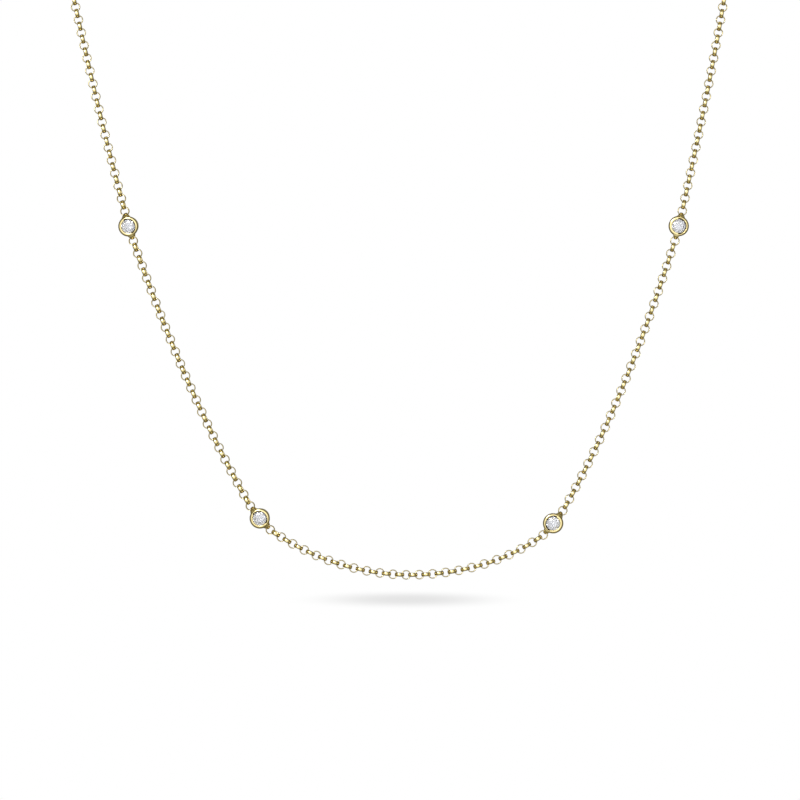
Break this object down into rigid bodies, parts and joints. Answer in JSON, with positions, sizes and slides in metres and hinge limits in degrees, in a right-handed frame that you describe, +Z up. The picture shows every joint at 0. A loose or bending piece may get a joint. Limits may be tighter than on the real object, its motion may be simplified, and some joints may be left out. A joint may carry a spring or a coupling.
{
  "type": "diamond station necklace",
  "caption": "Fine rolo chain necklace of interlocking round links, with round brilliant stones in swirled bezel settings spaced along its front, closed at the nape by a ring clasp.",
  "frame": {"origin": "the nape: the skin side of the chain and clasp, at the middle of the back of the neck", "axes": "+Z up, -Y to the front where the stones are, +X to the right as seen from the front"},
  "size_m": [0.125, 0.0622, 0.1376],
  "materials": {
    "gold": "polished yellow gold",
    "diamond": "clear faceted diamond"
  },
  "bodies": {
    "root": {"chain_front": "gold", "chain_side_left": "gold", "chain_side_right": "gold", "chain_upper_left": "gold", "chain_upper_right": "gold", "chain_back_left": "gold", "chain_back_right": "gold", "clasp": "gold", "setting_upper_left": "gold", "setting_lower_left": "gold", "setting_lower_right": "gold", "setting_upper_right": "gold", "diamond_upper_left": "diamond", "diamond_lower_left": "diamond", "diamond_lower_right": "diamond", "diamond_upper_right": "diamond"}
  },
  "joints": []
}
